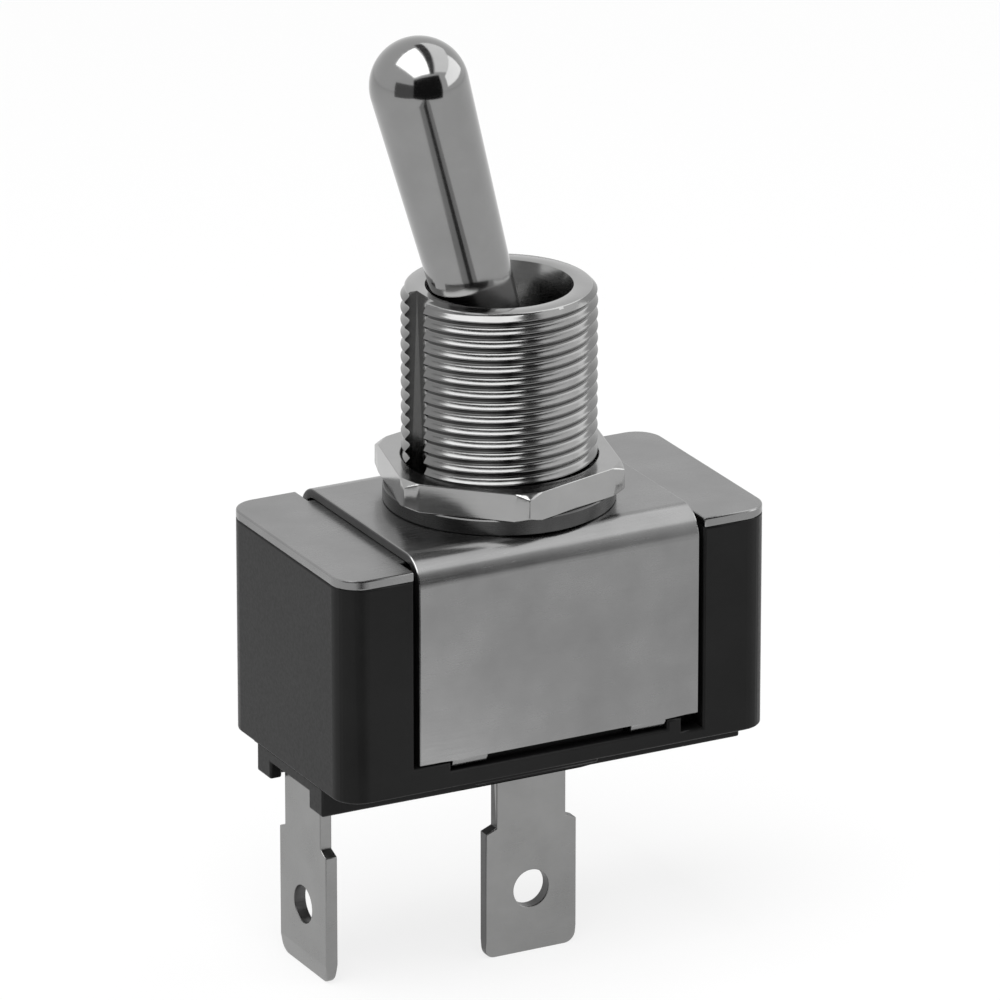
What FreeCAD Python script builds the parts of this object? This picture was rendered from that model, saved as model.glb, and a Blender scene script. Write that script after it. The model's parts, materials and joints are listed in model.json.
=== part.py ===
import FreeCAD
import Part

import math
import operator
import os

import Sketcher

# A heavy-duty on-off toggle switch for panels: a moulded base under a steel cover
# plate, held by a bent steel frame, with a threaded bushing that carries the lever.
# Frame: millimetres, +Z along the bushing. The origin is on the bushing's axis, in
# the top face of the hex nut, where the back of a panel bears. The long side of the
# base runs along X, and the end terminal is at -X.

SIZES = {
    # threaded bushing
    "thread_diameter": 11.9,
    "thread_root_diameter": 11.0,
    "thread_length": 10.8,
    "thread_chamfer": 0.35,
    "mouth_diameter": 9.0,
    "throat_diameter": 6.9,
    "throat_land": 0.776,
    "collar_diameter": 14.2,
    "collar_height": 1.0,
    "plate_land": 0.73,
    "stem_clearance": 0.05,
    "stem_wall": 0.55,
    "bore_straight": 2.3,
    "stake_lip": 0.6,
    "stake_thickness": 0.6,
    "keyway_width": 2.2,
    "keyway_depth": 0.95,
    # hex nut
    "nut_flats": 13.7,
    "nut_thickness": 1.8,
    "nut_clearance": 0.05,
    "nut_chamfer": 0.45,
    "nut_chamfer_height": 0.3,
    "nut_turn": 15.9,
    # lever, its pin, spring and plunger
    "lever_tilt": 15.2,
    "pivot_height": 4.3,
    "tip_distance": 20.5,
    "tip_radius": 3.0,
    "grip_foot_radius": 2.4,
    "ball_diameter": 7.8,
    "ball_clearance": 0.05,
    "ball_skirt": 0.7,
    "bell_length": 3.0,
    "arm_diameter": 3.6,
    "arm_bore": 2.6,
    "arm_bore_start": 3.0,
    "pin_diameter": 1.6,
    "pin_length": 9.2,
    "pin_slot_clearance": 0.1,
    "plunger_clearance": 0.04,
    "plunger_exposed": 3.7,
    "plunger_length": 5.0,
    "spigot_diameter": 1.2,
    "spigot_length": 1.4,
    "spring_wire": 0.36,
    "spring_diameter": 2.0,
    "spring_turns": 5.0,
    # sheet parts at the top
    "frame_thickness": 0.6,
    "frame_width": 19.05,
    "frame_bend": 1.8,
    "skirt_rise": 1.75,
    "lug_width": 2.4,
    "lug_spacing": 12.2,
    "lug_reach": 2.2,
    "plate_thickness": 0.6,
    "waist_clearance": 0.02,
    "sheet_thickness": 0.4,
    "sheet_border": 1.3,
    "sheet_inset": 1.6,
    # moulded base
    "base_length": 29.1,
    "base_width": 15.8,
    "base_height": 13.7,
    "corner_radius": 1.7,
    "end_wall": 1.65,
    "side_wall": 2.9,
    "floor_thickness": 2.0,
    "recess_clearance": 0.35,
    "recess_relief": 0.25,
    "fit_gap": 0.1,
    "lug_gap": 0.1,
    "notch_length": 1.5,
    "notch_height": 1.05,
    "notch_depth": 1.4,
    "rail_height": 1.9,
    "rail_outer": 8.8,
    "rail_inner": 5.2,
    "rail_inset": 0.2,
    "platform_height": 0.8,
    "boss_length": 8.4,
    "boss_outer": 5.0,
    "boss_height": 1.5,
    "stop_near": 5.0,
    "stop_length": 1.5,
    "stop_width": 4.0,
    "stop_gap": 0.12,
    # terminals
    "blade_width": 6.2,
    "blade_thickness": 0.8,
    "blade_length": 8.6,
    "blade_corner": 0.7,
    "shoulder_slope": 0.3,
    "neck_width": 4.75,
    "neck_drop": 4.9,
    "blade_hole": 2.4,
    "blade_hole_rise": 4.2,
    "lead_in_height": 1.2,
    "lead_in_depth": 0.2,
    "end_blade_inset": 1.05,
    "common_blade_face": 4.2,
    "common_foot_reach": 2.4,
    "end_foot_reach": 2.2,
    "foot_bend": 0.7,
    # rocker, its bracket and the contacts
    "rocker_swing": 8.0,
    "rocker_stand": 2.7,
    "tip_level": 2.5,
    "rocker_width": 4.4,
    "rocker_thickness": 0.9,
    "hub_cover": 0.1,
    "trough_half": 4.3,
    "trough_gap": 0.08,
    "wing_drop": 0.8,
    "wing_slope": 1.7,
    "contact_inset": 4.75,
    "contact_margin": 1.3,
    "idle_arm": 6.2,
    "trunnion_diameter": 1.4,
    "trunnion_clearance": 0.05,
    "trunnion_length": 6.8,
    "bracket_thickness": 0.7,
    "bracket_length": 3.8,
    "bracket_inner": 5.3,
    "bracket_bend": 1.0,
    "bracket_rise": 0.7,
    "rivet_diameter": 2.0,
    "rivet_head": 3.0,
    "rivet_head_height": 0.4,
    "contact_diameter": 3.0,
    "contact_height": 1.0,
    "contact_dome": 6.0,
    "contact_shank": 1.5,
    "contact_head": 2.2,
    "contact_head_height": 0.35,
    "closed_gap": 0.05,
    "fixed_contact_diameter": 3.4,
}

SIGNS = {"+": operator.add, "-": operator.sub, "*": operator.mul, "/": operator.truediv}


# A length that is known both as a number and as the expression over the sheet's cells.
class Size:
    def __init__(self, value, text):
        self.value = value
        self.text = text

    def __add__(self, other):
        return combined(self, "+", other)

    def __radd__(self, other):
        return combined(other, "+", self)

    def __sub__(self, other):
        return combined(self, "-", other)

    def __rsub__(self, other):
        return combined(other, "-", self)

    def __mul__(self, other):
        return combined(self, "*", other)

    def __rmul__(self, other):
        return combined(other, "*", self)

    def __truediv__(self, other):
        return combined(self, "/", other)

    def __neg__(self):
        return combined(0, "-", self)


def as_size(amount):
    if isinstance(amount, Size):
        return amount
    return Size(float(amount), repr(float(amount)))


def combined(left, sign, right):
    left = as_size(left)
    right = as_size(right)
    return Size(SIGNS[sign](left.value, right.value), f"({left.text} {sign} {right.text})")


def root(amount):
    return Size(math.sqrt(amount.value), f"sqrt({amount.text})")


def sine(angle):
    return Size(math.sin(math.radians(angle.value)), f"sin({angle.text})")


def cosine(angle):
    return Size(math.cos(math.radians(angle.value)), f"cos({angle.text})")


def across(hypotenuse, side):
    return root(hypotenuse * hypotenuse - side * side)


document = FreeCAD.newDocument("PanelToggleSwitch")
sheet = document.addObject("Spreadsheet::Sheet", "Sizes")
for row, (name, number) in enumerate(SIZES.items(), start=1):
    sheet.set(f"A{row}", name)
    sheet.set(f"B{row}", str(number))
    sheet.setAlias(f"B{row}", name)
document.recompute()


class Cells:
    def __getattr__(self, name):
        return Size(SIZES[name], f"Sizes.{name}")


cell = Cells()


# Sketches and features

def bind(thing, path, amount):
    thing.setExpression(path, as_size(amount).text)


def new_body(label):
    body = document.addObject("PartDesign::Body", label.title().replace("_", ""))
    body.Label = label
    return body


def sketch_on(body, role, offset=0):
    plane = next(item for item in body.Origin.OriginFeatures if item.Role == role)
    sketch = body.newObject("Sketcher::SketchObject", "Sketch")
    sketch.AttachmentSupport = (plane, [""])
    sketch.MapMode = "FlatFace"
    bind(sketch, "AttachmentOffset.Base.z", offset)
    return sketch


# The arc from one point to the next: a positive radius turns left, a negative one right.
def arc_between(start, end, radius):
    chord = end - start
    middle = (start + end) * 0.5
    left = FreeCAD.Vector(-chord.y, chord.x, 0).normalize()
    rise = math.sqrt(max(radius**2 - (chord.Length / 2) ** 2, 0.0))
    centre = middle + left * math.copysign(rise, radius)
    first, last = (start, end) if radius > 0 else (end, start)
    angles = [math.atan2(tip.y - centre.y, tip.x - centre.x) for tip in (first, last)]
    circle = Part.Circle(centre, FreeCAD.Vector(0, 0, 1), abs(radius))
    return Part.ArcOfCircle(circle, *angles)


def place_point(sketch, item, end, axis, amount):
    kind, own_axis = {"x": ("DistanceX", -2), "y": ("DistanceY", -1)}[axis]
    if not isinstance(amount, Size) and amount == 0:
        sketch.addConstraint(Sketcher.Constraint("PointOnObject", item, end, own_axis))
        return
    amount = as_size(amount)
    index = sketch.addConstraint(Sketcher.Constraint(kind, -1, 1, item, end, amount.value))
    bind(sketch, f"Constraints[{index}]", amount)


# A closed outline through points (x, y) or (x, y, radius of the arc to the next one).
def add_outline(sketch, points):
    corners = [FreeCAD.Vector(as_size(p[0]).value, as_size(p[1]).value, 0) for p in points]
    edges = []
    for index, point in enumerate(points):
        start = corners[index]
        end = corners[(index + 1) % len(points)]
        if len(point) == 2:
            edges.append((sketch.addGeometry(Part.LineSegment(start, end)), 1, 2))
            continue
        radius = as_size(point[2])
        item = sketch.addGeometry(arc_between(start, end, radius.value))
        edges.append((item, 1, 2) if radius.value > 0 else (item, 2, 1))
        size = radius if radius.value > 0 else -radius
        bound = sketch.addConstraint(Sketcher.Constraint("Radius", item, size.value))
        bind(sketch, f"Constraints[{bound}]", size)
    for index, (item, start, end) in enumerate(edges):
        following, its_start, _ = edges[(index + 1) % len(edges)]
        sketch.addConstraint(Sketcher.Constraint("Coincident", item, end, following, its_start))
        place_point(sketch, item, start, "x", points[index][0])
        place_point(sketch, item, start, "y", points[index][1])


def add_circle(sketch, x, y, radius):
    centre = FreeCAD.Vector(as_size(x).value, as_size(y).value, 0)
    circle = Part.Circle(centre, FreeCAD.Vector(0, 0, 1), as_size(radius).value)
    item = sketch.addGeometry(circle)
    index = sketch.addConstraint(Sketcher.Constraint("Radius", item, as_size(radius).value))
    bind(sketch, f"Constraints[{index}]", radius)
    place_point(sketch, item, 3, "x", x)
    place_point(sketch, item, 3, "y", y)


def rectangle(left, right, low, high):
    return [(left, low), (right, low), (right, high), (left, high)]


def rounded_rectangle(half_length, half_width, corner):
    flat = half_length - corner
    side = half_width - corner
    return [
        (-flat, -half_width),
        (flat, -half_width, corner),
        (half_length, -side),
        (half_length, side, corner),
        (flat, half_width),
        (-flat, half_width, corner),
        (-half_length, side),
        (-half_length, -side, corner),
    ]


def extrude(body, kind, sketch, length, symmetric=False, backwards=False):
    feature = body.newObject(f"PartDesign::{kind}", kind)
    feature.Profile = sketch
    if symmetric:
        feature.SideType = "Symmetric"
    feature.Reversed = backwards
    bind(feature, "Length", length)
    return feature


def pad(body, sketch, length, **options):
    return extrude(body, "Pad", sketch, length, **options)


def pocket(body, sketch, length, **options):
    return extrude(body, "Pocket", sketch, length, **options)


def turned(body, profile):
    sketch = sketch_on(body, "XZ_Plane")
    add_outline(sketch, profile)
    feature = body.newObject("PartDesign::Revolution", "Revolution")
    feature.Profile = sketch
    feature.ReferenceAxis = (sketch, ["V_Axis"])
    feature.Angle = 360
    return feature


def fillet_edges(body, radius, wanted):
    document.recompute()
    base = body.Tip
    names = [f"Edge{n}" for n, edge in enumerate(base.Shape.Edges, start=1) if wanted(edge)]
    feature = body.newObject("PartDesign::Fillet", "Fillet")
    feature.Base = (base, names)
    bind(feature, "Radius", radius)
    return feature


def lay(thing, x=0, y=0, z=0):
    for axis, amount in (("x", x), ("y", y), ("z", z)):
        bind(thing, f"Placement.Base.{axis}", amount)


def turn(thing, angle, axis):
    thing.Placement = FreeCAD.Placement(FreeCAD.Vector(), FreeCAD.Rotation(axis, as_size(angle).value))
    bind(thing, "Placement.Rotation.Angle", angle)


UP = FreeCAD.Vector(0, 0, 1)
ALONG_Y = FreeCAD.Vector(0, 1, 0)
ALONG_MINUS_Y = FreeCAD.Vector(0, -1, 0)

# Heights, from the nut's top face down and up
nut_bottom = -cell.nut_thickness
frame_top = nut_bottom - cell.collar_height
plate_top = frame_top - cell.frame_thickness
base_top = plate_top - cell.plate_thickness
sheet_bottom = base_top - cell.sheet_thickness
stake_bottom = sheet_bottom - cell.stake_thickness
base_bottom = base_top - cell.base_height
floor_top = base_bottom + cell.floor_thickness
foot_top = floor_top + cell.blade_thickness
skirt_bottom = base_bottom + cell.skirt_rise
platform_bottom = base_bottom - cell.platform_height
shoulder = base_bottom - cell.neck_drop
blade_tip = shoulder - cell.blade_length
hole_height = blade_tip + cell.blade_hole_rise
rocker_pivot = foot_top + cell.rocker_stand

# Radii and half widths that several pieces share. The cover plate keeps a land on each
# side between the stem's hole and the waist that clears the frame's bends.
thread_radius = cell.thread_diameter / 2
half_width = cell.base_width / 2
half_length = cell.base_length / 2
waist_half = half_width - cell.frame_bend - cell.waist_clearance
stem_hole = waist_half - cell.plate_land
stem_radius = stem_hole - cell.stem_clearance
stake_radius = stem_radius + cell.stake_lip
ball_radius = cell.ball_diameter / 2
seat_radius = ball_radius + cell.ball_clearance
cavity_half = half_length - cell.end_wall
cavity_side = half_width - cell.side_wall
recess_half = cell.frame_width / 2 + cell.recess_clearance
recess_floor = half_width - cell.frame_thickness - cell.recess_relief
blade_half = cell.blade_width / 2
neck_half = cell.neck_width / 2
slot_half = blade_half + cell.fit_gap
end_blade_face = half_length - cell.end_blade_inset
rivet_radius = cell.rivet_diameter / 2
shank_radius = cell.contact_shank / 2
lug_top = skirt_bottom
lug_bottom = skirt_bottom - cell.frame_thickness

# The plunger's round tip rides in the rocker's trough. From the rocker's pivot, in the
# rocker's own directions, the tip's centre starts at start_along and start_up when the
# lever is over, and is at tip_level when the lever stands straight.
plunger_radius = cell.arm_bore / 2 - cell.plunger_clearance
pivot_gap = cell.pivot_height - rocker_pivot
plunger_reach = pivot_gap - cell.tip_level
plunger_top = plunger_reach - cell.plunger_length
arm_reach = plunger_reach - cell.plunger_exposed
tip_along = plunger_reach * sine(cell.lever_tilt)
tip_up = pivot_gap - plunger_reach * cosine(cell.lever_tilt)
start_along = tip_along * cosine(cell.rocker_swing) - tip_up * sine(cell.rocker_swing)
start_up = tip_along * sine(cell.rocker_swing) + tip_up * cosine(cell.rocker_swing)
path_sag = start_up - cell.tip_level
path_radius = (start_along * start_along + path_sag * path_sag) / (2 * path_sag)
trough_radius = path_radius + plunger_radius
trough_centre = cell.tip_level + path_radius - cell.trough_gap
trough_rim = trough_centre - across(trough_radius, cell.trough_half)
wing_top = trough_rim - cell.wing_drop
wing_bottom = wing_top - cell.rocker_thickness

# Where the domed moving contact comes down on the fixed one
contact_arm = half_length - cell.contact_inset
contact_low = wing_bottom - cell.contact_height
dome_centre = contact_low + cell.contact_dome
fixed_contact_x = -(
    contact_arm * cosine(cell.rocker_swing) + dome_centre * sine(cell.rocker_swing)
)
fixed_contact_top = (
    rocker_pivot
    - contact_arm * sine(cell.rocker_swing)
    + dome_centre * cosine(cell.rocker_swing)
    - cell.contact_dome
    - cell.closed_gap
)
# Where the rocker's idle arm comes to rest
idle_low = (
    rocker_pivot
    - cell.idle_arm * sine(cell.rocker_swing)
    + wing_bottom * cosine(cell.rocker_swing)
)
stop_top = idle_low - cell.stop_gap


# Moulded base: an open box with a rebate for the insulating sheet, recesses for the
# frame's skirts, slots for the frame's lugs and the terminals, and rails underneath.
def base_housing():
    body = new_body("base_housing")
    block = sketch_on(body, "XY_Plane", base_bottom)
    add_outline(block, rounded_rectangle(half_length, half_width, cell.corner_radius))
    pad(body, block, cell.base_height)

    rails = sketch_on(body, "XY_Plane", base_bottom)
    rail_half = half_length - cell.rail_inset
    for near, far in (
        (-cell.rail_outer / 2, -cell.rail_inner / 2),
        (cell.rail_inner / 2, cell.rail_outer / 2),
    ):
        add_outline(rails, rectangle(-rail_half, rail_half, near, far))
    pad(body, rails, cell.rail_height, backwards=True)

    platform = sketch_on(body, "XY_Plane", base_bottom)
    inner = cell.rail_inner / 2
    add_outline(platform, rectangle(-rail_half, rail_half, -inner, inner))
    pad(body, platform, cell.platform_height, backwards=True)

    boss = sketch_on(body, "XY_Plane", base_bottom)
    boss_half = cell.boss_length / 2
    add_outline(boss, rectangle(-boss_half, boss_half, -cell.boss_outer, -inner))
    pad(body, boss, cell.boss_height, backwards=True)

    cavity = sketch_on(body, "XY_Plane", base_top)
    corner = cell.corner_radius / 2
    add_outline(cavity, rounded_rectangle(cavity_half, cavity_side, corner))
    pocket(body, cavity, cell.base_height - cell.floor_thickness)

    channel = sketch_on(body, "XY_Plane", base_top)
    channel_end = -(end_blade_face + cell.fit_gap / 2)
    channel_inner = -(cavity_half - cell.corner_radius)
    add_outline(channel, rectangle(channel_end, channel_inner, -slot_half, slot_half))
    pocket(body, channel, cell.base_height - cell.floor_thickness)

    rebate = sketch_on(body, "XY_Plane", base_top)
    rebate_length = half_length - cell.sheet_border + cell.fit_gap
    rebate_width = half_width - cell.sheet_inset + cell.fit_gap
    add_outline(rebate, rounded_rectangle(rebate_length, rebate_width, corner))
    pocket(body, rebate, cell.sheet_thickness + cell.fit_gap / 2)

    stake_room = sketch_on(body, "XY_Plane", base_top)
    add_circle(stake_room, 0, 0, stake_radius + cell.fit_gap)
    pocket(body, stake_room, base_top - stake_bottom + cell.fit_gap)

    slots = sketch_on(body, "XY_Plane", floor_top)
    thick = cell.blade_thickness + cell.fit_gap / 2
    end_slot_inner = channel_end + thick + cell.fit_gap / 2
    add_outline(slots, rectangle(channel_end, end_slot_inner, -slot_half, slot_half))
    common_outer = -(cell.common_blade_face + cell.fit_gap / 2)
    common_inner = common_outer + thick + cell.fit_gap / 2
    add_outline(slots, rectangle(-slot_half, slot_half, common_outer, common_inner))
    add_circle(slots, 0, 0, rivet_radius)
    add_circle(slots, fixed_contact_x, 0, shank_radius)
    pocket(body, slots, cell.floor_thickness + cell.rail_height + cell.fit_gap)

    for side in (-1, 1):
        outer = side * (half_width + cell.fit_gap)
        floor = side * recess_floor
        recess = sketch_on(body, "XY_Plane", base_top)
        low, high = (outer, floor) if side < 0 else (floor, outer)
        add_outline(recess, rectangle(-recess_half, recess_half, low, high))
        pocket(body, recess, base_top - skirt_bottom + cell.lug_gap)

        step = sketch_on(body, "XY_Plane", skirt_bottom)
        step_half = (cell.lug_spacing + cell.lug_width) / 2 + cell.lug_gap
        add_outline(step, rectangle(-step_half, step_half, low, high))
        pocket(body, step, cell.frame_thickness + cell.lug_gap)

        lug_slots = sketch_on(body, "XY_Plane", lug_top + cell.lug_gap / 2)
        slot_floor = side * (half_width - cell.lug_reach - cell.lug_gap)
        low, high = (outer, slot_floor) if side < 0 else (slot_floor, outer)
        for place in (-1, 1):
            middle = place * cell.lug_spacing / 2
            reach = cell.lug_width / 2 + cell.lug_gap
            add_outline(lug_slots, rectangle(middle - reach, middle + reach, low, high))
        pocket(body, lug_slots, cell.frame_thickness + cell.lug_gap)

        notch = sketch_on(body, "XY_Plane", skirt_bottom)
        notch_floor = side * (half_width - cell.notch_depth)
        low, high = (outer, notch_floor) if side < 0 else (notch_floor, outer)
        near = -side * recess_half
        far = near + side * cell.notch_length
        left, right = (far, near) if side < 0 else (near, far)
        add_outline(notch, rectangle(left, right, low, high))
        pocket(body, notch, cell.notch_height)

    stop = sketch_on(body, "XY_Plane", floor_top)
    stop_far = cell.stop_near + cell.stop_length
    add_outline(stop, rectangle(cell.stop_near, stop_far, -cell.stop_width / 2, cell.stop_width / 2))
    pad(body, stop, stop_top - floor_top)
    return body


# Steel cover plate: full width at both ends, waisted where the skirts go down.
def cover_plate():
    body = new_body("cover_plate")
    outline = sketch_on(body, "XY_Plane", base_top)
    add_outline(outline, rounded_rectangle(half_length, half_width, cell.corner_radius))
    pad(body, outline, cell.plate_thickness)
    waist = sketch_on(body, "XY_Plane", plate_top)
    outer = half_width + cell.fit_gap
    add_outline(waist, rectangle(-recess_half, recess_half, -outer, -waist_half))
    add_outline(waist, rectangle(-recess_half, recess_half, waist_half, outer))
    add_circle(waist, 0, 0, stem_hole)
    pocket(body, waist, cell.plate_thickness)
    return body


# Fibre sheet between the cover plate and the live parts.
def insulating_sheet():
    body = new_body("insulating_sheet")
    outline = sketch_on(body, "XY_Plane", sheet_bottom)
    length = half_length - cell.sheet_border
    width = half_width - cell.sheet_inset
    add_outline(outline, rounded_rectangle(length, width, cell.corner_radius / 2))
    add_circle(outline, 0, 0, stem_hole)
    pad(body, outline, cell.sheet_thickness)
    return body


# Mounting frame: a strap bent over the base, with two lugs under each skirt.
def mounting_frame():
    body = new_body("mounting_frame")
    strap = sketch_on(body, "YZ_Plane")
    bend = cell.frame_bend
    inner_bend = bend - cell.frame_thickness
    flat = half_width - bend
    spring_line = frame_top - bend
    inside = half_width - cell.frame_thickness
    add_outline(
        strap,
        [
            (half_width, skirt_bottom),
            (half_width, spring_line, bend),
            (flat, frame_top),
            (-flat, frame_top, bend),
            (-half_width, spring_line),
            (-half_width, skirt_bottom),
            (-inside, skirt_bottom),
            (-inside, spring_line, -inner_bend),
            (-flat, plate_top),
            (flat, plate_top, -inner_bend),
            (inside, spring_line),
            (inside, skirt_bottom),
        ],
    )
    pad(body, strap, cell.frame_width, symmetric=True)

    for side in (-1, 1):
        for place in (-1, 1):
            start = place * cell.lug_spacing / 2 - cell.lug_width / 2
            lug = sketch_on(body, "YZ_Plane", start)
            thick = cell.frame_thickness
            tip = side * (half_width - cell.lug_reach)
            corner = thick if side < 0 else -thick
            add_outline(
                lug,
                [
                    (side * half_width, lug_top, corner),
                    (side * inside, lug_bottom),
                    (tip, lug_bottom),
                    (tip, lug_top),
                ],
            )
            pad(body, lug, cell.lug_width)

    opening = sketch_on(body, "XY_Plane", frame_top)
    add_circle(opening, 0, 0, stem_hole)
    pocket(body, opening, cell.frame_thickness + cell.fit_gap)
    return body


# Threaded bushing: thread, relief behind the nut, collar, and a stem staked over below.
# Inside, a flared mouth, a ball seat and a bore that opens downwards for the lever's arm.
def threaded_bushing():
    body = new_body("threaded_bushing")
    root_radius = cell.thread_root_diameter / 2
    mouth = cell.mouth_diameter / 2
    throat = cell.throat_diameter / 2
    seat_rim = cell.pivot_height + across(seat_radius, throat)
    throat_top = seat_rim + cell.throat_land
    stem_bore = stem_radius - cell.stem_wall
    turned(
        body,
        [
            (stake_radius, stake_bottom),
            (stake_radius, sheet_bottom),
            (stem_radius, sheet_bottom),
            (stem_radius, frame_top),
            (cell.collar_diameter / 2, frame_top),
            (cell.collar_diameter / 2, nut_bottom),
            (root_radius, nut_bottom),
            (root_radius, root_radius - thread_radius),
            (thread_radius, 0),
            (thread_radius, cell.thread_length - cell.thread_chamfer),
            (thread_radius - cell.thread_chamfer, cell.thread_length),
            (mouth, cell.thread_length),
            (throat, throat_top),
            (throat, seat_rim, -seat_radius),
            (seat_radius, cell.pivot_height),
            (seat_radius, cell.pivot_height - cell.bore_straight),
            (stem_bore, stake_bottom),
        ],
    )
    keyway = sketch_on(body, "XY_Plane", cell.thread_length)
    key_floor = thread_radius - cell.keyway_depth
    key_half = cell.keyway_width / 2
    outside = thread_radius + cell.fit_gap
    add_outline(keyway, rectangle(-outside, -key_floor, -key_half, key_half))
    pocket(body, keyway, cell.thread_length - nut_bottom)

    slots = sketch_on(body, "XY_Plane", stake_bottom)
    slot_half_width = cell.pin_diameter / 2 + cell.pin_slot_clearance
    slot_end = cell.pin_length / 2 + cell.pin_slot_clearance
    add_outline(slots, rectangle(-slot_half_width, slot_half_width, -slot_end, slot_end))
    slot_top = cell.pivot_height + slot_half_width
    pocket(body, slots, slot_top - stake_bottom, backwards=True)
    return body


# Hex nut with both faces chamfered at the corners.
def hex_nut():
    body = new_body("hex_nut")
    corner = cell.nut_flats / root(as_size(3))
    bore = thread_radius + cell.nut_clearance
    face = corner - cell.nut_chamfer
    rise = cell.nut_chamfer_height
    turned(
        body,
        [
            (bore, nut_bottom),
            (face, nut_bottom),
            (corner, nut_bottom + rise),
            (corner, -rise),
            (face, 0),
            (bore, 0),
        ],
    )
    hexagon = sketch_on(body, "XY_Plane", 0)
    half = corner / 2
    flat = cell.nut_flats / 2
    add_outline(
        hexagon,
        [(corner, 0), (half, flat), (-half, flat), (-corner, 0), (-half, -flat), (half, -flat)],
    )
    add_circle(hexagon, 0, 0, corner + cell.nut_chamfer)
    pocket(body, hexagon, cell.nut_thickness)
    turn(body, cell.nut_turn, UP)
    return body


# Lever: a tapered bat handle with a round end, a ball in the bushing's seat that runs out
# in a bell, and a hollow arm below. It is drawn upright about its pivot and then leant over.
def toggle_lever():
    body = new_body("toggle_lever")
    foot = cell.grip_foot_radius
    arm = cell.arm_diameter / 2
    bore = cell.arm_bore / 2
    ball_top = across(ball_radius, foot)
    turned(
        body,
        [
            (0, -cell.arm_bore_start),
            (bore, -cell.arm_bore_start),
            (bore, -arm_reach),
            (arm, -arm_reach),
            (arm, -cell.bell_length),
            (across(ball_radius, cell.ball_skirt), -cell.ball_skirt, ball_radius),
            (foot, ball_top),
            (cell.tip_radius, cell.tip_distance, cell.tip_radius),
            (0, cell.tip_distance + cell.tip_radius),
        ],
    )
    pin_hole = sketch_on(body, "XZ_Plane")
    add_circle(pin_hole, 0, 0, cell.pin_diameter / 2)
    pocket(body, pin_hole, cell.ball_diameter, symmetric=True)
    turn(body, cell.lever_tilt, ALONG_MINUS_Y)
    lay(body, z=cell.pivot_height)
    return body


# Pin through the lever's ball, with its ends in the bushing's slots.
def pivot_pin():
    pin = document.addObject("Part::Cylinder", "PivotPin")
    pin.Label = "pivot_pin"
    bind(pin, "Radius", cell.pin_diameter / 2)
    bind(pin, "Height", cell.pin_length)
    pin.Placement = FreeCAD.Placement(
        FreeCAD.Vector(), FreeCAD.Rotation(FreeCAD.Vector(1, 0, 0), 90)
    )
    lay(pin, y=cell.pin_length / 2, z=cell.pivot_height)
    return pin


# Plunger: round tip below, spigot inside the spring above.
def plunger():
    body = new_body("plunger")
    spigot = cell.spigot_diameter / 2
    turned(
        body,
        [
            (0, -plunger_reach - plunger_radius, plunger_radius),
            (plunger_radius, -plunger_reach),
            (plunger_radius, -plunger_top),
            (spigot, -plunger_top),
            (spigot, -plunger_top + cell.spigot_length),
            (0, -plunger_top + cell.spigot_length),
        ],
    )
    turn(body, cell.lever_tilt, ALONG_MINUS_Y)
    lay(body, z=cell.pivot_height)
    return body


# Compression spring between the end of the arm's bore and the plunger. Its wire has six
# flats.
def lever_spring():
    body = new_body("lever_spring")
    wire = cell.spring_wire / 2
    coil = cell.spring_diameter / 2
    bottom = -plunger_top + wire
    section = sketch_on(body, "XZ_Plane")
    half = wire / 2
    rise = half * root(as_size(3))
    add_outline(
        section,
        [
            (coil + wire, bottom),
            (coil + half, bottom + rise),
            (coil - half, bottom + rise),
            (coil - wire, bottom),
            (coil - half, bottom - rise),
            (coil + half, bottom - rise),
        ],
    )
    helix = body.newObject("PartDesign::AdditiveHelix", "Helix")
    helix.Profile = section
    helix.ReferenceAxis = (section, ["V_Axis"])
    helix.Mode = "height-turns-angle"
    bind(helix, "Height", plunger_top - cell.arm_bore_start - cell.spring_wire)
    bind(helix, "Turns", cell.spring_turns)
    turn(body, cell.lever_tilt, ALONG_MINUS_Y)
    lay(body, z=cell.pivot_height)
    return body


# Rocker: a gull-winged contact arm with a trough for the plunger and a hub with
# trunnions. It is drawn level about its pivot and then tipped with the lever.
def contact_rocker():
    body = new_body("contact_rocker")
    arm = sketch_on(body, "XZ_Plane")
    under_radius = trough_radius + cell.rocker_thickness
    half = cell.trough_half
    under_rim = trough_centre - across(under_radius, half)
    slope_end = half + cell.wing_slope
    contact_end = contact_arm + cell.contact_margin
    add_outline(
        arm,
        [
            (-contact_end, wing_bottom),
            (-slope_end, wing_bottom),
            (-half, under_rim, under_radius),
            (half, under_rim),
            (slope_end, wing_bottom),
            (cell.idle_arm, wing_bottom),
            (cell.idle_arm, wing_top),
            (slope_end, wing_top),
            (half, trough_rim, -trough_radius),
            (-half, trough_rim),
            (-slope_end, wing_top),
            (-contact_end, wing_top),
        ],
    )
    pad(body, arm, cell.rocker_width, symmetric=True)
    hub = sketch_on(body, "XZ_Plane")
    add_circle(hub, 0, 0, trough_centre - trough_radius - cell.hub_cover)
    pad(body, hub, cell.rocker_width, symmetric=True)
    trunnions = sketch_on(body, "XZ_Plane")
    add_circle(trunnions, 0, 0, cell.trunnion_diameter / 2)
    pad(body, trunnions, cell.trunnion_length, symmetric=True)
    rivet_hole = sketch_on(body, "XY_Plane", wing_top)
    add_circle(rivet_hole, -contact_arm, 0, shank_radius)
    pocket(body, rivet_hole, cell.rocker_thickness)
    turn(body, cell.rocker_swing, ALONG_Y)
    lay(body, z=rocker_pivot)
    return body


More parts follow.
